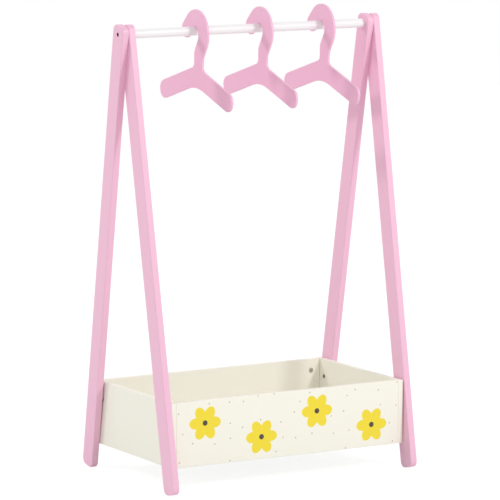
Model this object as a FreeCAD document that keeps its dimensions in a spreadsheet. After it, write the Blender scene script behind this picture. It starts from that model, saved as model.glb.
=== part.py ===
import FreeCAD, Part
import math
import os
import re
import Sketcher

# Kids clothing rack: two A-frames of flat legs, a round rail with three flat hangers, and an open box
# bolted between the frames. Lengths in millimetres, angles in degrees.
# +X is right, -Y is the front, +Z is up; the origin is on the floor under the middle of the rack.

SIZES = {
    # A-frame legs
    "rail_height": 982.0,
    "leg_spread_deg": 11.0,
    "leg_width": 45.0,
    "leg_thickness": 16.0,
    "leg_top_rise": 20.0,
    "leg_corner_radius": 14.0,
    "leg_edge_radius": 2.0,
    "lap_clearance": 0.1,
    # rail
    "rail_diameter": 20.0,
    # open box
    "box_length": 588.0,
    "box_height": 143.0,
    "box_rise": 55.0,
    "panel_thickness": 12.0,
    "panel_edge_radius": 1.3,
    "bottom_thickness": 5.0,
    "bottom_rise": 10.0,
    "groove_depth": 5.0,
    "groove_clearance": 0.1,
    # bolts, inserts and spacers
    "bolt_diameter": 6.0,
    "bolt_clearance": 0.2,
    "thread_clearance": 0.05,
    "thread_engagement": 10.0,
    "insert_diameter": 9.0,
    "insert_length": 12.0,
    "insert_clearance": 0.05,
    "hole_relief": 1.0,
    "barrel_head_diameter": 9.0,
    "barrel_head_length": 8.0,
    "barrel_head_recess": 1.0,
    "barrel_head_clearance": 0.2,
    "button_head_diameter": 9.5,
    "button_crown_diameter": 6.8,
    "button_rim_height": 0.8,
    "button_crown_height": 1.2,
    "hex_socket_width": 4.0,
    "hex_socket_depth": 2.2,
    "leg_bolt_inset": 19.2,
    "leg_bolt_drop": 39.6,
    "spacer_diameter": 12.0,
    "spacer_thickness": 2.5,
    "lean_clearance": 0.2,
    # cam fittings and dowels
    "cam_diameter": 12.0,
    "cam_depth": 10.0,
    "cam_clearance": 0.1,
    "cam_inset": 23.5,
    "cam_margin": 26.8,
    "cam_cross_length": 7.0,
    "cam_cross_width": 1.6,
    "cam_cross_depth": 2.0,
    "stud_thread_diameter": 5.0,
    "stud_thread_length": 8.0,
    "stud_collar_diameter": 6.4,
    "stud_collar_length": 1.5,
    "stud_shank_diameter": 4.0,
    "stud_head_diameter": 6.0,
    "stud_head_length": 3.0,
    "stud_clearance": 0.3,
    "dowel_diameter": 6.0,
    "dowel_length": 24.0,
    "dowel_seat": 8.0,
    "dowel_taper": 1.0,
    "dowel_clearance": 0.1,
    # hanger board and its arms
    "hanger_thickness": 6.0,
    "hanger_edge_radius": 1.2,
    "hanger_tilt_deg": 1.5,
    "arm_slope_deg": 17.4,
    "arm_width": 41.2,
    "arm_length": 166.4,
    "arm_drop": 97.3,
    "arm_shift": 6.9,
    "arm_end_radius": 19.5,
    "arm_underside_radius": 122.0,
    # hanger neck and hook
    "neck_back": 0.7,
    "neck_width": 34.7,
    "neck_corner_radius": 12.5,
    "neck_bend_radius": 25.0,
    "neck_bend_drop": 51.1,
    "neck_waist_drop": 65.6,
    "hook_clearance": 0.3,
    "hook_slot_radius": 18.8,
    "hook_tip_radius": 19.1,
    "hook_tip_deg": 14.8,
    "hook_dome_radius": 53.5,
    "hook_dome_rise": 47.5,
    "hook_dome_shift": 5.0,
    # every cut runs this far past the face that it leaves by
    "overrun": 1.0,
}

# the hangers, and their places along the rail from its middle as shares of its length
HANGER_NAMES = ("hanger_left", "hanger_middle", "hanger_right")
HANGER_PLACE_SHARES = (-0.2289, 0.046, 0.3156)

# faces and heights that several pieces share, written in the sizes above
SIDE = "(box_length / 2)"
SIDE_INSIDE = "(box_length / 2 - panel_thickness)"
BOX_TOP = "(box_rise + box_height)"
LEG_DEPTH = "(leg_width / cos(leg_spread_deg))"
# along a leg from the rail to the foot, whose rounded corner touches the floor
FOOT_CORNER = "((leg_width / 2 - leg_corner_radius) * sin(leg_spread_deg) + leg_corner_radius)"
LEG_BELOW = f"((rail_height - {FOOT_CORNER}) / cos(leg_spread_deg) + leg_corner_radius)"
# the box is as deep as the frames are at its top edge
BACK = f"((rail_height - {BOX_TOP}) * tan(leg_spread_deg) + {LEG_DEPTH} / 2)"
BACK_INSIDE = f"({BACK} - panel_thickness)"
BACK_MIDDLE = f"({BACK} - panel_thickness / 2)"
BOLT_BACK = f"({BACK_INSIDE} - leg_bolt_inset)"
BOLT_HEIGHT = f"({BOX_TOP} - leg_bolt_drop)"
# an outer leg leans in from the inner leg at the rail to the spacer at the box
BOX_GAP = "(spacer_thickness + lean_clearance)"
BOLT_BELOW = f"((rail_height - {BOLT_HEIGHT}) * cos(leg_spread_deg) + {BOLT_BACK} * sin(leg_spread_deg))"
LEAN = f"((leg_thickness + lap_clearance - {BOX_GAP}) / {BOLT_BELOW})"
OUTER_AT_BOX = f"({SIDE} + {BOX_GAP})"
OUTER_AT_RAIL = f"({SIDE} + leg_thickness + lap_clearance)"
OUTER_FOOT = f"({OUTER_AT_RAIL} - {LEAN} * {LEG_BELOW})"
HEAD_SEAT = f"({OUTER_AT_RAIL} + leg_thickness - barrel_head_length - barrel_head_recess)"
BOLT_HOLE = "(bolt_diameter / 2 + bolt_clearance)"
INSERT_HOLE = "(insert_diameter / 2 + insert_clearance)"
STUD_HOLE = "(stud_thread_diameter / 2 + thread_clearance)"
STUD_CHANNEL = "(stud_collar_diameter / 2 + stud_clearance)"
DOWEL_HOLE = "(dowel_diameter / 2 + dowel_clearance)"
CAM_HEIGHTS = ("(box_rise + cam_margin)", f"({BOX_TOP} - cam_margin)")
MIDDLE_HEIGHT = "(box_rise + box_height / 2)"
BOTTOM_HEIGHT = "(box_rise + bottom_rise)"

ALONG = {
    "x": FreeCAD.Rotation(FreeCAD.Vector(0, 1, 0), 90),
    "y": FreeCAD.Rotation(FreeCAD.Vector(1, 0, 0), -90),
}
HALF_TURN = {
    "none": FreeCAD.Rotation(),
    "x": FreeCAD.Rotation(FreeCAD.Vector(1, 0, 0), 180),
    "y": FreeCAD.Rotation(FreeCAD.Vector(0, 1, 0), 180),
    "z": FreeCAD.Rotation(FreeCAD.Vector(0, 0, 1), 180),
}

doc = FreeCAD.newDocument("ClothingRack")
sheet = doc.addObject("Spreadsheet::Sheet", "Sizes")
for row, (alias, value) in enumerate(SIZES.items(), 1):
    sheet.set(f"A{row}", alias)
    sheet.set(f"B{row}", str(value))
    sheet.setAlias(f"B{row}", alias)
doc.recompute()


def sized(text):
    """An expression in size names, as the sheet's cells."""
    return re.sub(r"[a-z_]+", lambda hit: ("Sizes." if hit.group() in SIZES else "") + hit.group(), text)


def bind(item, name, text):
    item.setExpression(name, sized(text))


def put(item, x, y, z, turn=None):
    """Turn an item, then bind its place."""
    if turn is not None:
        item.Placement = FreeCAD.Placement(FreeCAD.Vector(), turn)
    bind(item, "Placement.Base.x", x)
    bind(item, "Placement.Base.y", y)
    bind(item, "Placement.Base.z", z)
    return item


def rod(name, axis, radius, low, high, place):
    """A cylinder along an axis from low to high; place gives its two other coordinates in order."""
    item = doc.addObject("Part::Cylinder", name)
    bind(item, "Radius", radius)
    bind(item, "Height", f"({high}) - ({low})")
    spot = list(place)
    spot.insert("xyz".index(axis), low)
    return put(item, *spot, turn=ALONG[axis])


def cone(name, low_radius, high_radius, low, high):
    """A cone along the x axis from low to high."""
    item = doc.addObject("Part::Cone", name)
    bind(item, "Radius1", low_radius)
    bind(item, "Radius2", high_radius)
    bind(item, "Height", f"({high}) - ({low})")
    return put(item, low, "0", "0", turn=ALONG["x"])


def socket(name, low):
    """A hexagon on the x axis, for the key that turns a bolt."""
    item = doc.addObject("Part::Prism", name)
    item.Polygon = 6
    bind(item, "Circumradius", "hex_socket_width / (2 * cos(30))")
    bind(item, "Height", "hex_socket_depth + overrun")
    return put(item, low, "0", "0", turn=ALONG["x"])


def block(name, low, high):
    item = doc.addObject("Part::Box", name)
    for side, start, end in zip(("Length", "Width", "Height"), low, high):
        bind(item, side, f"({end}) - ({start})")
    return put(item, *low)


def fuse(name, items):
    item = doc.addObject("Part::MultiFuse", name)
    item.Shapes = items
    return item


def cut(name, base, tools):
    item = doc.addObject("Part::Cut", name)
    item.Base = base
    item.Tool = tools[0] if len(tools) == 1 else fuse(name + "_tools", tools)
    return item


def ring(name, diameter, hole_radius, length):
    """A tube on the x axis that starts at the origin."""
    outside = rod(name + "_outside", "x", f"{diameter} / 2", "0", length, ("0", "0"))
    bore = rod(name + "_bore", "x", hole_radius, "-overrun", f"{length} + overrun", ("0", "0"))
    return cut(name + "_one", outside, [bore])


def copies(name, master, spots):
    """One node of equal pieces: each spot is x, y, z and the axis of a half turn."""
    links = []
    for count, (x, y, z, turn) in enumerate(spots, 1):
        link = doc.addObject("App::Link", f"{name}_{count}")
        link.LinkedObject = master
        link.LinkTransform = False
        links.append(put(link, x, y, z, HALF_TURN[turn]))
    group = doc.addObject("Part::Compound", name)
    group.Links = links
    return group


def mirrored(side, low, high):
    """A span on the right side, or the same span on the left."""
    return (low, high) if side > 0 else (f"-({high})", f"-({low})")


def rectangle(body, width, depth):
    """A sketch on the body's base plane, from its origin."""
    sketch = body.newObject("Sketcher::SketchObject", body.Name + "_outline")
    plane = [item for item in body.Origin.OriginFeatures if item.Role == "XY_Plane"][0]
    sketch.AttachmentSupport = [(plane, "")]
    sketch.MapMode = "FlatFace"
    corners = [FreeCAD.Vector(x, y, 0) for x, y in ((0, 0), (1, 0), (1, 1), (0, 1))]
    for index in range(4):
        sketch.addGeometry(Part.LineSegment(corners[index], corners[(index + 1) % 4]), False)
    for index in range(4):
        sketch.addConstraint(Sketcher.Constraint("Coincident", index, 2, (index + 1) % 4, 1))
        sketch.addConstraint(Sketcher.Constraint(("Horizontal", "Vertical")[index % 2], index))
    sketch.addConstraint(Sketcher.Constraint("Coincident", 0, 1, -1, 1))
    for name, kind, line, size in (("across", "DistanceX", 0, width), ("along", "DistanceY", 1, depth)):
        index = sketch.addConstraint(Sketcher.Constraint(kind, line, 1, line, 2, 1.0))
        sketch.renameConstraint(index, name)
        bind(sketch, f"Constraints.{name}", size)
    return sketch


def rounded(body, base, name, radius, wanted):
    """Round the edges of a body that a test picks."""
    doc.recompute()
    fillet = body.newObject("PartDesign::Fillet", name)
    fillet.Base = (base, [f"Edge{n}" for n, edge in enumerate(base.Shape.Edges, 1) if wanted(edge)])
    bind(fillet, "Radius", radius)
    return fillet


def board(name, low, high):
    """A panel with softened edges."""
    body = doc.addObject("PartDesign::Body", name)
    pad = body.newObject("PartDesign::Pad", name + "_pad")
    width, depth, height = [f"({end}) - ({start})" for start, end in zip(low, high)]
    pad.Profile = rectangle(body, width, depth)
    bind(pad, "Length", height)
    rounded(body, pad, name + "_edges", "panel_edge_radius", lambda edge: True)
    return put(body, *low)


def runs_along_x(edge):
    run = edge.Vertexes[-1].Point - edge.Vertexes[0].Point
    return abs(run.x) > abs(run.y) + abs(run.z)


def slant(item, low, back, half_width):
    """Turn an item that stands on its low corner to the line of a front or back leg, from the foot up."""
    across = f"{back} * {LEG_BELOW} * sin(leg_spread_deg)"
    up = f"rail_height - {LEG_BELOW} * cos(leg_spread_deg)"
    put(item, low, f"{across} - {half_width} * cos(leg_spread_deg)",
        f"{up} - {back} * {half_width} * sin(leg_spread_deg)",
        FreeCAD.Rotation(FreeCAD.Vector(back, 0, 0), SIZES["leg_spread_deg"]))
    bind(item, "Placement.Rotation.Angle", "leg_spread_deg")
    return item


def leg(name, side, back, outer):
    """A flat leg with square ends, turned to its slanted line from the floor past the rail. An outer leg
    is cut flat where it lies against the inner leg, to that leg's outline."""
    body = doc.addObject("PartDesign::Body", name + "_blank")
    pad = body.newObject("PartDesign::Pad", name + "_pad")
    pad.Profile = rectangle(body, "leg_thickness", "leg_width")
    pad.UseCustomVector = True
    pad.AlongSketchNormal = True
    bind(pad, "Direction.x", f"{side} * {LEAN}" if outer else "0")
    bind(pad, "Direction.y", "0")
    bind(pad, "Direction.z", "1")
    bind(pad, "Length", f"{LEG_BELOW} + leg_top_rise")
    corners = rounded(body, pad, name + "_corners", "leg_corner_radius", runs_along_x)
    rounded(body, corners, name + "_edges", "leg_edge_radius", lambda edge: not runs_along_x(edge))
    foot = OUTER_FOOT if outer else SIDE
    slant(body, mirrored(side, foot, f"{foot} + leg_thickness")[0], back, "(leg_width / 2)")

    at_rail = OUTER_AT_RAIL if outer else SIDE
    at_box = OUTER_AT_BOX if outer else SIDE
    past = mirrored(side, f"{at_rail} - overrun", f"{at_rail} + leg_thickness + overrun")
    tools = [rod(name + "_pivot", "x", BOLT_HOLE, *past, ("0", "rail_height"))]
    if outer:
        sunk = mirrored(side, HEAD_SEAT, f"{at_rail} + leg_thickness + overrun")
        tools.append(rod(name + "_sink", "x", "barrel_head_diameter / 2 + barrel_head_clearance",
                         *sunk, ("0", "rail_height")))
        half_lap = "(leg_width / 2 + lap_clearance)"
        low, high = mirrored(side, SIDE, OUTER_AT_RAIL)
        lap = block(name + "_lap", (low, "0", "0"), (high, f"2 * {half_lap}", f"{LEG_BELOW} + leg_top_rise"))
        tools.append(slant(lap, low, -back, half_lap))
    bore = mirrored(side, f"{at_box} - overrun", f"{at_box} + insert_length + hole_relief")
    tools.append(rod(name + "_bore", "x", INSERT_HOLE, *bore, (f"{back} * {BOLT_BACK}", BOLT_HEIGHT)))
    return cut(name, body, tools)


def side_panel(name, side):
    low, high = mirrored(side, SIDE_INSIDE, SIDE)
    panel = board(name + "_blank", (low, f"-{BACK}", "box_rise"), (high, BACK, BOX_TOP))
    through = mirrored(side, f"{SIDE_INSIDE} - overrun", f"{SIDE} + overrun")
    stud = mirrored(side, f"{SIDE_INSIDE} - overrun", f"{SIDE_INSIDE} + stud_thread_length + hole_relief")
    dowel = mirrored(side, f"{SIDE_INSIDE} - overrun", f"{SIDE_INSIDE} + dowel_seat + hole_relief")
    groove = mirrored(side, f"{SIDE_INSIDE} - overrun", f"{SIDE_INSIDE} + groove_depth")
    reach = f"({BACK_INSIDE} + groove_depth)"
    tools = [block(name + "_groove", (groove[0], f"-{reach}", f"{BOTTOM_HEIGHT} - groove_clearance"),
                   (groove[1], reach, f"{BOTTOM_HEIGHT} + bottom_thickness + groove_clearance"))]
    for word, back in (("back", 1), ("front", -1)):
        edge = f"{back} * {BACK_MIDDLE}"
        tools.append(rod(f"{name}_bolt_{word}", "x", BOLT_HOLE, *through,
                         (f"{back} * {BOLT_BACK}", BOLT_HEIGHT)))
        tools.append(rod(f"{name}_dowel_{word}", "x", DOWEL_HOLE, *dowel, (edge, MIDDLE_HEIGHT)))
        for level, height in enumerate(CAM_HEIGHTS):
            tools.append(rod(f"{name}_stud_{word}_{level}", "x", STUD_HOLE, *stud, (edge, height)))
    return cut(name, panel, tools)


def long_panel(name, back):
    near, far = mirrored(back, BACK_INSIDE, BACK)
    panel = board(name + "_blank", (f"-{SIDE_INSIDE}", near, "box_rise"), (SIDE_INSIDE, far, BOX_TOP))
    groove = mirrored(back, f"{BACK_INSIDE} - overrun", f"{BACK_INSIDE} + groove_depth")
    cam = mirrored(back, f"{BACK_INSIDE} - overrun", f"{BACK_INSIDE} + cam_depth + cam_clearance")
    past = f"({SIDE_INSIDE} + overrun)"
    tools = [block(name + "_groove", (f"-{past}", groove[0], f"{BOTTOM_HEIGHT} - groove_clearance"),
                   (past, groove[1], f"{BOTTOM_HEIGHT} + bottom_thickness + groove_clearance"))]
    middle = f"{back} * {BACK_MIDDLE}"
    for word, side in (("right", 1), ("left", -1)):
        channel = mirrored(side, f"{SIDE_INSIDE} - cam_inset", past)
        dowel = mirrored(side, f"{SIDE_INSIDE} - dowel_length + dowel_seat - hole_relief", past)
        tools.append(rod(f"{name}_dowel_{word}", "x", DOWEL_HOLE, *dowel, (middle, MIDDLE_HEIGHT)))
        for level, height in enumerate(CAM_HEIGHTS):
            tools.append(rod(f"{name}_cam_{word}_{level}", "y", "cam_diameter / 2 + cam_clearance", *cam,
                             (f"{side} * ({SIDE_INSIDE} - cam_inset)", height)))
            tools.append(rod(f"{name}_stud_{word}_{level}", "x", STUD_CHANNEL, *channel, (middle, height)))
    return cut(name, panel, tools)


def bottom_panel(name):
    reach = "(groove_depth - groove_clearance)"
    right, back = f"({SIDE_INSIDE} + {reach})", f"({BACK_INSIDE} + {reach})"
    return board(name, (f"-{right}", f"-{back}", BOTTOM_HEIGHT),
                 (right, back, f"{BOTTOM_HEIGHT} + bottom_thickness"))


def rail(name):
    bar = rod(name + "_bar", "x", "rail_diameter / 2", f"-{SIDE}", SIDE, ("0", "rail_height"))
    tools = []
    for word, side in (("right", 1), ("left", -1)):
        bore = mirrored(side, f"{SIDE} - insert_length - hole_relief", f"{SIDE} + overrun")
        tools.append(rod(f"{name}_bore_{word}", "x", INSERT_HOLE, *bore, ("0", "rail_height")))
    return cut(name, bar, tools)


def barrel_bolt(name):
    """The rail's bolt, pointing to -X, with the seat of its head at the origin."""
    head = rod(name + "_head", "x", "barrel_head_diameter / 2", "0", "barrel_head_length", ("0", "0"))
    shank = rod(name + "_shank", "x", "bolt_diameter / 2", f"{SIDE} - thread_engagement - {HEAD_SEAT}", "0",
                ("0", "0"))
    return cut(name + "_one", fuse(name + "_solid", [head, shank]),
               [socket(name + "_socket", "barrel_head_length - hex_socket_depth")])


def button_bolt(name, grip):
    """A leg bolt, pointing to +X, with the seat of its head at the origin."""
    rim = rod(name + "_rim", "x", "button_head_diameter / 2", "-button_rim_height", "0", ("0", "0"))
    crown = cone(name + "_crown", "button_crown_diameter / 2", "button_head_diameter / 2",
                 "-(button_rim_height + button_crown_height)", "-button_rim_height")
    shank = rod(name + "_shank", "x", "bolt_diameter / 2", "0", f"{grip} + thread_engagement", ("0", "0"))
    key = socket(name + "_socket", "-(button_rim_height + button_crown_height + overrun)")
    return cut(name + "_one", fuse(name + "_solid", [rim, crown, shank]), [key])


def cam_lock(name):
    """A cam in the back panel near its right end: its face, towards -Y, is at the origin."""
    disc = rod(name + "_disc", "y", "cam_diameter / 2", "0", "cam_depth", ("0", "0"))
    mouth = rod(name + "_mouth", "x", "stud_head_diameter / 2 + stud_clearance",
                "-(stud_head_length / 2 + stud_clearance)", "cam_diameter / 2 + overrun",
                ("panel_thickness / 2", "0"))
    half, slim = "(cam_cross_length / 2)", "(cam_cross_width / 2)"
    level = block(name + "_level", (f"-{half}", "-overrun", f"-{slim}"), (half, "cam_cross_depth", slim))
    upright = block(name + "_upright", (f"-{slim}", "-overrun", f"-{half}"), (slim, "cam_cross_depth", half))
    return cut(name + "_one", disc, [mouth, level, upright])


def cam_bolt(name):
    """The stud that a cam pulls, on the X axis, with the side panel's inner face at the origin."""
    thread = rod(name + "_thread", "x", "stud_thread_diameter / 2", "0", "stud_thread_length", ("0", "0"))
    collar = rod(name + "_collar", "x", "stud_collar_diameter / 2", "-stud_collar_length", "0", ("0", "0"))
    shank = rod(name + "_shank", "x", "stud_shank_diameter / 2", "-cam_inset", "0", ("0", "0"))
    head = rod(name + "_head", "x", "stud_head_diameter / 2", "-(cam_inset + stud_head_length / 2)",
               "-(cam_inset - stud_head_length / 2)", ("0", "0"))
    return fuse(name + "_one", [thread, collar, shank, head])


def dowel(name):
    """A wood pin along the x axis, with the side panel's inner face at the origin."""
    full, slim = "(dowel_diameter / 2)", "(dowel_diameter / 2 - dowel_taper)"
    start, end = "(dowel_seat - dowel_length)", "dowel_seat"
    near, far = f"({start} + dowel_taper)", f"({end} - dowel_taper)"
    pin = rod(name + "_pin", "x", full, near, far, ("0", "0"))
    tapers = [cone(name + "_start", slim, full, start, near), cone(name + "_end", full, slim, far, end)]
    return fuse(name + "_one", [pin, *tapers])


def hanger_rounds():
    """The rounds of a hanger's outline, in order with the board on the left: y, z and radius from the
    rail's axis. A round that turns right has a negative radius."""
    size = {alias: float(sheet.get(alias)) for alias in SIZES}
    slope = math.radians(size["arm_slope_deg"])
    middle = -size["arm_shift"]
    half_width = size["arm_width"] / 2
    arm_top = half_width / math.cos(slope) - size["arm_drop"]
    arm_bottom = -half_width / math.cos(slope) - size["arm_drop"]
    neck_back = -size["neck_back"]
    neck_front = neck_back - size["neck_width"]
    slot = size["rail_diameter"] / 2 + size["hook_clearance"] - size["hook_slot_radius"]
    dome = size["hook_dome_rise"] - size["hook_dome_radius"]
    tip_angle = math.radians(size["hook_tip_deg"])
    tip_reach = size["hook_slot_radius"] + size["hook_tip_radius"]

    def arm_end(side, up):
        along = size["arm_length"] - size["arm_end_radius"]
        across = up * (half_width - size["arm_end_radius"])
        y = along * math.cos(slope) + across * math.sin(slope)
        z = across * math.cos(slope) - along * math.sin(slope) - size["arm_drop"]
        return (middle + side * y, z, size["arm_end_radius"])

    def neck_corner(y):
        z = arm_top - abs(y - middle) * math.tan(slope) + size["neck_corner_radius"] / math.cos(slope)
        return (y, z, -size["neck_corner_radius"])

    return [
        (middle, arm_bottom - size["arm_underside_radius"] / math.cos(slope), -size["arm_underside_radius"]),
        arm_end(1, -1),
        arm_end(1, 1),
        neck_corner(neck_back + size["neck_corner_radius"]),
        (neck_back - size["neck_bend_radius"], -size["neck_bend_drop"], size["neck_bend_radius"]),
        (0, slot, -size["hook_slot_radius"]),
        (tip_reach * math.cos(tip_angle), slot + tip_reach * math.sin(tip_angle), size["hook_tip_radius"]),
        (-size["hook_dome_shift"], dome, size["hook_dome_radius"]),
        (neck_front - size["neck_bend_radius"], -size["neck_waist_drop"], -size["neck_bend_radius"]),
        neck_corner(neck_front - size["neck_corner_radius"]),
        arm_end(-1, 1),
        arm_end(-1, -1),
    ]


def belt(rounds):
    """The arcs of the rounds and the tangent lines between them, as curves in the plane."""
    tangents = []
    for (y, z, radius), (next_y, next_z, next_radius) in zip(rounds, rounds[1:] + rounds[:1]):
        gap = math.hypot(next_y - y, next_z - z)
        lean = math.asin(max(-1, min(1, (next_radius - radius) / gap)))
        heading = math.atan2(next_z - z, next_y - y) - lean
        left = FreeCAD.Vector(-math.sin(heading), math.cos(heading), 0)
        start = FreeCAD.Vector(y, z, 0) - left * radius
        end = FreeCAD.Vector(next_y, next_z, 0) - left * next_radius
        tangents.append((start, end))
    curves = []
    for (y, z, radius), before, after in zip(rounds, tangents[-1:] + tangents[:-1], tangents):
        centre = FreeCAD.Vector(y, z, 0)
        enter, leave = before[1] - centre, after[0] - centre
        first, last = math.atan2(enter.y, enter.x), math.atan2(leave.y, leave.x)
        if radius < 0:
            first, last = last, first
        circle = Part.Circle(centre, FreeCAD.Vector(0, 0, 1), abs(radius))
        curves.append(Part.ArcOfCircle(circle, first, last if last > first else last + 2 * math.pi))
        if (after[1] - after[0]).Length > Part.Precision.confusion():
            curves.append(Part.LineSegment(*after))
    return curves


def hanger(name, place_share):
    body = doc.addObject("PartDesign::Body", name)
    sketch = body.newObject("Sketcher::SketchObject", name + "_outline")
    plane = [item for item in body.Origin.OriginFeatures if item.Role == "YZ_Plane"][0]
    sketch.AttachmentSupport = [(plane, "")]
    sketch.MapMode = "FlatFace"
    sketch.addGeometry(belt(hanger_rounds()), False)
    pad = body.newObject("PartDesign::Pad", name + "_pad")
    pad.Profile = sketch
    bind(pad, "Length", "hanger_thickness")
    rounded(body, pad, name + "_edges", "hanger_edge_radius", lambda edge: not runs_along_x(edge))
    tilt = FreeCAD.Rotation(FreeCAD.Vector(1, 0, 0), SIZES["hanger_tilt_deg"])
    put(body, f"box_length * {place_share} - hanger_thickness / 2", "0", "rail_height", tilt)
    bind(body, "Placement.Rotation.Angle", "hanger_tilt_deg")
    return body


nodes = []
for word, side in (("left", -1), ("right", 1)):
    nodes.append(leg(f"leg_{word}_back", side, 1, outer=side < 0))
    nodes.append(leg(f"leg_{word}_front", side, -1, outer=side > 0))

nodes.append(rail("hanging_rail"))
right_rail, left_rail = ("0", "rail_height", "none"), ("0", "rail_height", "z")
insert = ring("insert", "insert_diameter", "bolt_diameter / 2 + thread_clearance", "insert_length")
nodes.append(copies("rail_inserts", insert, [(f"{SIDE} - insert_length", *right_rail),
                                             (f"insert_length - {SIDE}", *left_rail)]))
nodes.append(copies("rail_bolts", barrel_bolt("rail_bolt"), [(HEAD_SEAT, *right_rail),
                                                             (f"-{HEAD_SEAT}", *left_rail)]))

nodes.append(side_panel("box_left_panel", -1))
nodes.append(side_panel("box_right_panel", 1))
nodes.append(long_panel("box_front_panel", -1))
nodes.append(long_panel("box_back_panel", 1))
nodes.append(bottom_panel("box_bottom_panel"))

# the inner legs stand at the right back and left front, the outer legs at the two other corners
right_back, left_front = (BOLT_BACK, BOLT_HEIGHT, "none"), (f"-{BOLT_BACK}", BOLT_HEIGHT, "z")
right_front, left_back = (f"-{BOLT_BACK}", BOLT_HEIGHT, "none"), (BOLT_BACK, BOLT_HEIGHT, "z")
nodes.append(copies("inner_leg_bolts", button_bolt("inner_leg_bolt", "panel_thickness"),
                    [(SIDE_INSIDE, *right_back), (f"-{SIDE_INSIDE}", *left_front)]))
nodes.append(copies("outer_leg_bolts", button_bolt("outer_leg_bolt", f"panel_thickness + {BOX_GAP}"),
                    [(SIDE_INSIDE, *right_front), (f"-{SIDE_INSIDE}", *left_back)]))
OUTER_INSERT = f"({OUTER_AT_BOX} + lean_clearance)"
nodes.append(copies("leg_inserts", insert, [(SIDE, *right_back), (f"-{SIDE}", *left_front),
                                            (OUTER_INSERT, *right_front), (f"-{OUTER_INSERT}", *left_back)]))
spacer = ring("spacer", "spacer_diameter", BOLT_HOLE, "spacer_thickness")
nodes.append(copies("leg_spacers", spacer, [(SIDE, *right_front), (f"-{SIDE}", *left_back)]))

CAM_PLACE = f"({SIDE_INSIDE} - cam_inset)"
cam_spots, stud_spots, dowel_spots = [], [], []
for side, back, turn in ((1, 1, "none"), (1, -1, "x"), (-1, 1, "y"), (-1, -1, "z")):
    face, end = f"{side} * {SIDE_INSIDE}", "none" if side > 0 else "z"
    dowel_spots.append((face, f"{back} * {BACK_MIDDLE}", MIDDLE_HEIGHT, end))
    for height in CAM_HEIGHTS:
        cam_spots.append((f"{side} * {CAM_PLACE}", f"{back} * {BACK_INSIDE}", height, turn))
        stud_spots.append((face, f"{back} * {BACK_MIDDLE}", height, end))
nodes.append(copies("cam_locks", cam_lock("cam_lock"), cam_spots))
nodes.append(copies("cam_bolts", cam_bolt("cam_bolt"), stud_spots))
nodes.append(copies("corner_dowels", dowel("dowel"), dowel_spots))

for name, place_share in zip(HANGER_NAMES, HANGER_PLACE_SHARES):
    nodes.append(hanger(name, place_share))

doc.recompute()
for item in doc.Objects:
    if "Invalid" in item.State or "Error" in item.State:
        raise RuntimeError(f"{item.Name} did not build: {item.State}")

os.makedirs("parts", exist_ok=True)
for node in nodes:
    shape = node.Shape
    if shape.isNull() or not shape.isValid():
        raise RuntimeError(f"{node.Label} has no valid shape")
    shape.exportStep(f"parts/{node.Label}.step")
    print(node.Label, len(shape.Solids), "solids", round(shape.Volume), "mm3", shape.BoundBox)
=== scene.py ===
import bpy
import math
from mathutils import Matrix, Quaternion, Vector


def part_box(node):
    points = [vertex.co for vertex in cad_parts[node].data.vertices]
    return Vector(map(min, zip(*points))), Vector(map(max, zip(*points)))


# Kids clothing rack: finishes for the legs, rail, hangers, box and fittings, then floor, light and camera.
# Every piece is a solid of the frame, so this script gives finishes and adds no shapes to the rack.
# Lengths are in metres, and colours are sRGB.

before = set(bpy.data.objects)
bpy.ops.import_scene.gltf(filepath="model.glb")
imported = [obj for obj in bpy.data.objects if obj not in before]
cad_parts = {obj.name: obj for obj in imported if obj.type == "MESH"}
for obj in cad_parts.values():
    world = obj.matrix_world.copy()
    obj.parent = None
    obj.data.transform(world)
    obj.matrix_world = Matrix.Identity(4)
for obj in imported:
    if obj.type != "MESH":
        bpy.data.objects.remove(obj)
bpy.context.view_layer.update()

MM = 0.001

# how the grain runs: along a leg, along a panel or the rail, or along a hanger's arms
GRAIN_STRETCH = 0.05
UPRIGHT_GRAIN = (1.0, 1.0, GRAIN_STRETCH)
LEVEL_GRAIN = (GRAIN_STRETCH, 1.0, 1.0)
ARM_GRAIN = (1.0, GRAIN_STRETCH, 1.0)

# painted board: a cloudy tone, the fibres of the wood, and the paint's orange peel, which is about 1 mm
# across in real paint and drawn coarser here so that it shows
CLOUD_SIZE = 70 * MM
FIBRE_SIZE = 4 * MM
FIBRE_SHARE = 0.35
FIBRE_STRENGTH = 0.12
FIBRE_HEIGHT = 0.08 * MM
PEEL_SIZE = 2.5 * MM
PEEL_STRENGTH = 0.2
PEEL_HEIGHT = 0.05 * MM
PAINT_INDEX = 1.5
PAINT_GLOSS_SPREAD = 0.04

# most of a noise pattern lies between these two values
NOISE_LOW = 0.3
NOISE_HIGH = 0.7

# the colour and the slightly darker shade of each painted or moulded surface
LEG_PINK = ("#F5C2DA", "#F3BED6")
HANGER_PINK = ("#F5BED9", "#F3BAD6")
RAIL_WHITE = ("#F7F7F7", "#F4F4F4")
PANEL_CREAM = ("#F9F7EA", "#F7F5E7")
BOTTOM_CREAM = ("#F2F1EA", "#EFEEE7")
# the spacers' brown is painted shade: it stands for the dark shadow in the gap between a leg and the box's
# side
SPACER_GAP_SHADE_BROWN = ("#7A6A6B", "#736364")
DOWEL_BEECH = ("#D8B58A", "#C59E70")

# the print on the front panel
FLOWER_COUNT = 4
NOTCH_RADIUS = 25 * MM
FLOWER_LIFT = 22 * MM
FLOWER_EYE = 6 * MM
PETAL_COUNT = 6
PETAL_DEPTH = 14 * MM
DOT_RADIUS = 1.9 * MM
DOT_PITCH = 42 * MM
DOT_MARGIN = 5 * MM
DOT_SCATTER = 0.7
GREY_DOT_SHARE = 0.7
PRINT_BLUR = 0.4 * MM
PRINT_WRAP = 0.5 * MM
PETAL_YELLOW = "#F5DE32"
EYE_BROWN = "#4A3D36"
DOT_GREY = "#C9C4B8"
DOT_PINK = "#E8C4BA"

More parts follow.
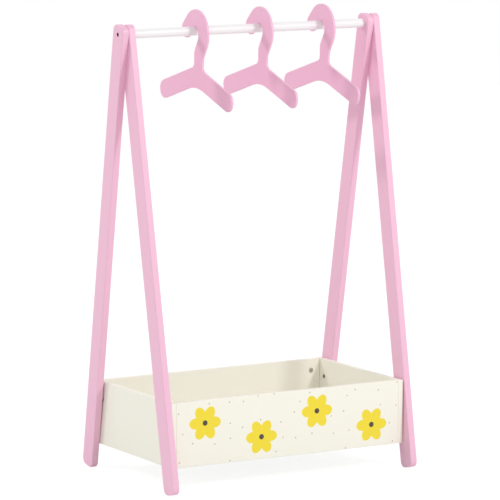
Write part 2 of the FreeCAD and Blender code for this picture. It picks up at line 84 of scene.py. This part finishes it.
# the fine grain of plated and cast metal
METAL_GRAIN = 0.8 * MM
METAL_GRAIN_HEIGHT = 0.05 * MM
PLATED_STRENGTH = 0.2
PLATED_GLOSS_SPREAD = 0.08
CAST_STRENGTH = 0.25
CAST_ROUGHNESS = 0.45

# the face of a cam lock, from its driver recess out to its rim: shares of its radius and their colours; the
# dark recess and the darker ring near the rim are painted shade, of the driver's hollow and of the shadowed
# edge round the cam
CAM_RADIUS = 6 * MM
CAM_RECESS_SHADE = "#7C796E"
CAM_FACE = "#DEDCD2"
CAM_RING_SHADE = "#B0AEA4"
CAM_RIM = "#D2D0C6"
CAM_BANDS = ((0.3, CAM_RECESS_SHADE), (0.4, CAM_FACE), (0.62, CAM_FACE), (0.7, CAM_RING_SHADE), (0.9, CAM_RING_SHADE),
             (0.97, CAM_RIM))

# the studio; each lamp has a name, a place, a width and a power in watts
WHITE = "#FFFFFF"
FLOOR_SIZE = 14
FLOOR_LIGHT_TINT = "#F4F4F4"
FLOOR_SEEN_TINT = "#959595"
FLOOR_LIFT = 0.84
ROOM_LIGHT = 0.68
ROOM_SEEN = 1.0
LAMPS = (("front_key", (1.64, -4.06, 2.97), 0.7, 76), ("left_fill", (-3.45, 2.3, 3.15), 0.55, 48))
LAMP_TARGET = (0, 0, 0.5)

# the camera; the lens and its sensor are in millimetres, as Blender has them
CAMERA_AZIMUTH_DEG = -30.0
CAMERA_ELEVATION_DEG = 8.08
CAMERA_ROLL_DEG = -0.09
CAMERA_DISTANCE = 8.229
CAMERA_TARGET = (0.0024, 0.0, 0.4894)
CAMERA_LENS = 267.1
CAMERA_SENSOR = 36


def linear(hex_colour):
    """An sRGB hex colour as the linear colour that Blender works in."""
    channels = [int(hex_colour[place:place + 2], 16) / 255 for place in (1, 3, 5)]
    return [c / 12.92 if c <= 0.04045 else ((c + 0.055) / 1.055) ** 2.4 for c in channels] + [1.0]


def add(tree, kind, inputs=None, **settings):
    """One node with its settings; an input is a value or the output that it is linked to."""
    made = tree.nodes.new(kind)
    for name, value in settings.items():
        setattr(made, name, value)
    for name, value in (inputs or {}).items():
        if isinstance(value, bpy.types.NodeSocket):
            tree.links.new(value, made.inputs[name])
        else:
            made.inputs[name].default_value = value
    return made


def maths(tree, operation, first, second=0, third=0):
    """What a maths node makes of up to three numbers."""
    return add(tree, "ShaderNodeMath", {0: first, 1: second, 2: third}, operation=operation).outputs["Value"]


def blend(tree, factor, first, second):
    """The first colour where the factor is 0, the second where it is 1."""
    return add(tree, "ShaderNodeMix", {"Factor": factor, 6: first, 7: second}, data_type="RGBA").outputs[2]


def noise(tree, place, size, detail):
    """A noise pattern with lumps of one size."""
    return add(tree, "ShaderNodeTexNoise",
               {"Vector": place, "Scale": 1 / size, "Detail": detail}).outputs["Fac"]


def new_material(name):
    """An empty material, its node tree and its output node."""
    material = bpy.data.materials.new(name)
    material.use_nodes = True
    tree = material.node_tree
    tree.nodes.clear()
    return material, tree, tree.nodes.new("ShaderNodeOutputMaterial")


def painted_board(name, colours, roughness, grain, pattern=None):
    """Sprayed satin paint on sanded board. The eye gets a soft even colour, a fine orange peel in the
    highlights and a very faint trace of the grain under the paint."""
    material, tree, output = new_material(name)
    colour, shade = colours
    place = add(tree, "ShaderNodeTexCoord").outputs["Object"]
    along = add(tree, "ShaderNodeMapping", {"Vector": place, "Scale": grain}).outputs["Vector"]
    cloud = noise(tree, place, CLOUD_SIZE, 2)
    fibre = noise(tree, along, FIBRE_SIZE, 4)
    peel = noise(tree, place, PEEL_SIZE, 2)
    tone = add(tree, "ShaderNodeMix", {"Factor": FIBRE_SHARE, 2: cloud, 3: fibre}).outputs[0]
    paint = blend(tree, tone, linear(shade), linear(colour))
    if pattern:
        paint = pattern(tree, place, paint)
    gloss = add(tree, "ShaderNodeMapRange", {"Value": cloud, "From Min": NOISE_LOW, "From Max": NOISE_HIGH,
                                             "To Min": roughness - PAINT_GLOSS_SPREAD,
                                             "To Max": roughness + PAINT_GLOSS_SPREAD})
    trace = add(tree, "ShaderNodeBump", {"Height": fibre, "Strength": FIBRE_STRENGTH,
                                         "Distance": FIBRE_HEIGHT})
    relief = add(tree, "ShaderNodeBump", {"Height": peel, "Strength": PEEL_STRENGTH, "Distance": PEEL_HEIGHT,
                                          "Normal": trace.outputs["Normal"]})
    shader = add(tree, "ShaderNodeBsdfPrincipled", {"Base Color": paint, "IOR": PAINT_INDEX,
                                                    "Roughness": gloss.outputs["Result"],
                                                    "Normal": relief.outputs["Normal"]})
    tree.links.new(shader.outputs["BSDF"], output.inputs["Surface"])
    return material


def flower_distance(tree, spot, low, high):
    """How far a point of the panel is from the nearest flower's middle, and from its outline. The flowers
    stand in one row, by turns above and below the panel's middle line."""
    pitch = (high.x - low.x) / FLOWER_COUNT
    turn = maths(tree, "SINE", maths(tree, "MULTIPLY", spot["X"], math.pi / pitch))
    lift = maths(tree, "MULTIPLY_ADD", maths(tree, "SIGN", turn), FLOWER_LIFT, (low.z + high.z) / 2)
    across = maths(tree, "WRAP", maths(tree, "SUBTRACT", spot["X"], pitch / 2), pitch / 2, -pitch / 2)
    upward = maths(tree, "SUBTRACT", spot["Z"], lift)
    arm = add(tree, "ShaderNodeCombineXYZ", {"X": across, "Y": upward}).outputs["Vector"]
    middle = add(tree, "ShaderNodeVectorMath", {0: arm}, operation="LENGTH").outputs["Value"]
    angle = maths(tree, "ARCTAN2", upward, across)
    wave = maths(tree, "COSINE", maths(tree, "MULTIPLY", angle, PETAL_COUNT / 2))
    petal = maths(tree, "MULTIPLY_ADD", maths(tree, "ABSOLUTE", wave), PETAL_DEPTH, NOTCH_RADIUS)
    return middle, maths(tree, "SUBTRACT", middle, petal)


def flower_print(tree, place, paint):
    """Screen print on the front panel's outer face: flat yellow flowers with a dark eye, and small grey and
    pink dots scattered between them."""
    low, high = [Vector(corner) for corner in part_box("box_front_panel")]
    spot = add(tree, "ShaderNodeSeparateXYZ", {"Vector": place}).outputs
    middle, outline = flower_distance(tree, spot, low, high)
    flat = add(tree, "ShaderNodeCombineXYZ", {"X": spot["X"], "Y": spot["Z"]}).outputs["Vector"]
    cells = add(tree, "ShaderNodeTexVoronoi",
                {"Vector": flat, "Scale": 1 / DOT_PITCH, "Randomness": DOT_SCATTER},
                voronoi_dimensions="2D").outputs
    speck = maths(tree, "MULTIPLY", cells["Distance"], DOT_PITCH)
    hue = add(tree, "ShaderNodeSeparateColor", {"Color": cells["Color"]}).outputs["Red"]
    ink = blend(tree, maths(tree, "GREATER_THAN", hue, GREY_DOT_SHARE), linear(DOT_GREY), linear(DOT_PINK))
    clear = add(tree, "ShaderNodeMapRange", {"Value": outline, "From Min": DOT_MARGIN - PRINT_BLUR,
                                             "From Max": DOT_MARGIN + PRINT_BLUR}).outputs["Result"]
    face = maths(tree, "LESS_THAN", spot["Y"], low.y + PRINT_WRAP)
    dots_only = maths(tree, "MULTIPLY", face, clear)
    for distance, edge, where, colour in ((speck, DOT_RADIUS, dots_only, ink),
                                          (outline, 0, face, linear(PETAL_YELLOW)),
                                          (middle, FLOWER_EYE, face, linear(EYE_BROWN))):
        inside = add(tree, "ShaderNodeMapRange", {"Value": distance, "From Min": edge - PRINT_BLUR,
                                                  "From Max": edge + PRINT_BLUR, "To Min": 1, "To Max": 0})
        cover = maths(tree, "MULTIPLY", inside.outputs["Result"], where)
        paint = blend(tree, cover, paint, colour)
    return paint


def plated_steel(name, colour, roughness, metallic):
    """Plated steel: a dull metal sheen with a fine grain from the plating."""
    material, tree, output = new_material(name)
    place = add(tree, "ShaderNodeTexCoord").outputs["Object"]
    grit = noise(tree, place, METAL_GRAIN, 2)
    gloss = add(tree, "ShaderNodeMapRange", {"Value": grit, "To Min": roughness - PLATED_GLOSS_SPREAD,
                                             "To Max": roughness + PLATED_GLOSS_SPREAD})
    relief = add(tree, "ShaderNodeBump", {"Height": grit, "Strength": PLATED_STRENGTH,
                                          "Distance": METAL_GRAIN_HEIGHT})
    shader = add(tree, "ShaderNodeBsdfPrincipled", {"Base Color": linear(colour), "Metallic": metallic,
                                                    "Roughness": gloss.outputs["Result"],
                                                    "Normal": relief.outputs["Normal"]})
    tree.links.new(shader.outputs["BSDF"], output.inputs["Surface"])
    return material


def cast_cam(name):
    """Die-cast zinc: a pale dull disc, with painted shade as a darker ring near its rim and as a dark driver
    recess.
    """
    material, tree, output = new_material(name)
    low, high = [Vector(corner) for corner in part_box("cam_locks")]
    middle = (low + high) / 2
    corner = (high - low) / 2 - Vector((CAM_RADIUS, 0, CAM_RADIUS))
    place = add(tree, "ShaderNodeTexCoord").outputs["Object"]
    spot = place
    # the eight cams lie evenly about the box's middle, so one fold brings them all to one place
    for operation, value in (("SUBTRACT", middle), ("ABSOLUTE", (0, 0, 0)), ("SUBTRACT", corner),
                             ("MULTIPLY", (1, 0, 1))):
        spot = add(tree, "ShaderNodeVectorMath", {0: spot, 1: value}, operation=operation).outputs["Vector"]
    reach = add(tree, "ShaderNodeVectorMath", {0: spot}, operation="LENGTH").outputs["Value"]
    rings = add(tree, "ShaderNodeValToRGB", {"Fac": maths(tree, "DIVIDE", reach, CAM_RADIUS)})
    bands = rings.color_ramp.elements
    for edge, colour in CAM_BANDS:
        bands.new(edge).color = linear(colour)
    # the innermost band is the painted shade of the driver recess
    bands[0].color = linear(CAM_RECESS_SHADE)
    bands[-1].color = linear(CAM_RIM)
    grit = noise(tree, place, METAL_GRAIN, 2)
    relief = add(tree, "ShaderNodeBump", {"Height": grit, "Strength": CAST_STRENGTH,
                                          "Distance": METAL_GRAIN_HEIGHT})
    shader = add(tree, "ShaderNodeBsdfPrincipled", {"Base Color": rings.outputs["Color"], "Metallic": 1.0,
                                                    "Roughness": CAST_ROUGHNESS,
                                                    "Normal": relief.outputs["Normal"]})
    tree.links.new(shader.outputs["BSDF"], output.inputs["Surface"])
    return material


def finish(material, *names):
    """Give some nodes of the frame one material."""
    for name in names:
        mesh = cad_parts[name].data
        mesh.materials.clear()
        mesh.materials.append(material)


def finish_rack():
    """Each node of the frame gets its finish."""
    finish(painted_board("pink_paint_on_pine", LEG_PINK, roughness=0.42, grain=UPRIGHT_GRAIN),
           "leg_left_back", "leg_left_front", "leg_right_back", "leg_right_front")
    finish(painted_board("pink_paint_on_hanger_board", HANGER_PINK, roughness=0.42, grain=ARM_GRAIN),
           "hanger_left", "hanger_middle", "hanger_right")
    finish(painted_board("white_paint_on_dowel", RAIL_WHITE, roughness=0.35, grain=LEVEL_GRAIN),
           "hanging_rail")
    finish(painted_board("cream_paint_on_panel", PANEL_CREAM, roughness=0.45, grain=LEVEL_GRAIN),
           "box_left_panel", "box_right_panel", "box_back_panel")
    finish(painted_board("cream_paint_on_thin_board", BOTTOM_CREAM, roughness=0.5, grain=LEVEL_GRAIN),
           "box_bottom_panel")
    finish(painted_board("printed_cream_paint", PANEL_CREAM, roughness=0.45, grain=LEVEL_GRAIN,
                         pattern=flower_print), "box_front_panel")
    finish(plated_steel("black_zinc_steel", "#2A2826", roughness=0.42, metallic=0.8), "rail_bolts")
    finish(plated_steel("worn_black_zinc_steel", "#989288", roughness=0.45, metallic=0.8),
           "inner_leg_bolts", "outer_leg_bolts")
    finish(plated_steel("bright_zinc_steel", "#C4C3C0", roughness=0.38, metallic=1.0),
           "rail_inserts", "leg_inserts", "cam_bolts")
    finish(cast_cam("die_cast_zinc_with_painted_shade"), "cam_locks")
    # the spacers get a brown of painted shade, like the shadow in the gap between a leg and the box's side
    finish(painted_board("nylon_in_painted_gap_shade", SPACER_GAP_SHADE_BROWN, roughness=0.55, grain=UPRIGHT_GRAIN),
           "leg_spacers")
    finish(painted_board("bare_beech", DOWEL_BEECH, roughness=0.6, grain=LEVEL_GRAIN), "corner_dowels")


def seen_directly(tree):
    """1 for what the camera sees, itself or by way of a reflection, and 0 for light on the rack."""
    path = add(tree, "ShaderNodeLightPath").outputs
    seen = path["Is Camera Ray"]
    for kind in ("Is Glossy Ray", "Is Transmission Ray"):
        seen = maths(tree, "MAXIMUM", seen, path[kind])
    return seen


def build_floor():
    """A pale paper floor. What the camera and shiny metal see of it is lifted to white, and keeps a faint
    trace of the rack's soft shadow."""
    bpy.ops.object.select_all(action="DESELECT")
    bpy.ops.mesh.primitive_plane_add(size=FLOOR_SIZE, location=(0, 0, 0))
    floor = bpy.context.object
    floor.name = "studio_floor"
    material, tree, output = new_material("studio_floor_paper")
    seen = seen_directly(tree)
    tint = blend(tree, seen, linear(FLOOR_LIGHT_TINT), linear(FLOOR_SEEN_TINT))
    lift = maths(tree, "MULTIPLY", seen, FLOOR_LIFT)
    paper = add(tree, "ShaderNodeBsdfDiffuse", {"Color": tint}).outputs["BSDF"]
    white = add(tree, "ShaderNodeEmission", {"Color": linear(WHITE), "Strength": lift})
    both = add(tree, "ShaderNodeAddShader", {0: paper, 1: white.outputs["Emission"]})
    tree.links.new(both.outputs["Shader"], output.inputs["Surface"])
    floor.data.materials.append(material)


def build_light():
    """An even white room, a key lamp from the front right, and a fill lamp from above behind on the left,
    which throws the rail's soft shadow on the necks of the hangers."""
    world = bpy.data.worlds.new("white_studio")
    bpy.context.scene.world = world
    world.use_nodes = True
    tree = world.node_tree
    tree.nodes.clear()
    strength = add(tree, "ShaderNodeMapRange", {"Value": seen_directly(tree), "To Min": ROOM_LIGHT,
                                                "To Max": ROOM_SEEN})
    sky = add(tree, "ShaderNodeBackground", {"Color": linear(WHITE), "Strength": strength.outputs["Result"]})
    output = tree.nodes.new("ShaderNodeOutputWorld")
    tree.links.new(sky.outputs["Background"], output.inputs["Surface"])
    for name, place, width, power in LAMPS:
        lamp = bpy.data.lights.new(name, "AREA")
        lamp.size = width
        lamp.energy = power
        item = bpy.data.objects.new(name, lamp)
        bpy.context.scene.collection.objects.link(item)
        item.location = place
        item.rotation_euler = (Vector(LAMP_TARGET) - item.location).to_track_quat("-Z", "Y").to_euler()


def build_camera():
    """The photograph's view: a long lens from the front left, a little above the rack, hardly rolled."""
    azimuth = math.radians(CAMERA_AZIMUTH_DEG)
    elevation = math.radians(CAMERA_ELEVATION_DEG)
    roll = Quaternion((0, 0, 1), math.radians(CAMERA_ROLL_DEG))
    ahead = Vector((-math.sin(azimuth) * math.cos(elevation), math.cos(azimuth) * math.cos(elevation),
                    -math.sin(elevation)))
    lens = bpy.data.cameras.new("photo_camera")
    lens.sensor_width = CAMERA_SENSOR
    lens.lens = CAMERA_LENS
    camera = bpy.data.objects.new("photo_camera", lens)
    bpy.context.scene.collection.objects.link(camera)
    camera.location = Vector(CAMERA_TARGET) - ahead * CAMERA_DISTANCE
    camera.rotation_euler = (ahead.to_track_quat("-Z", "Y") @ roll).to_euler()
    bpy.context.scene.camera = camera


finish_rack()
build_floor()
build_light()
build_camera()
bpy.context.scene.view_settings.view_transform = "Standard"
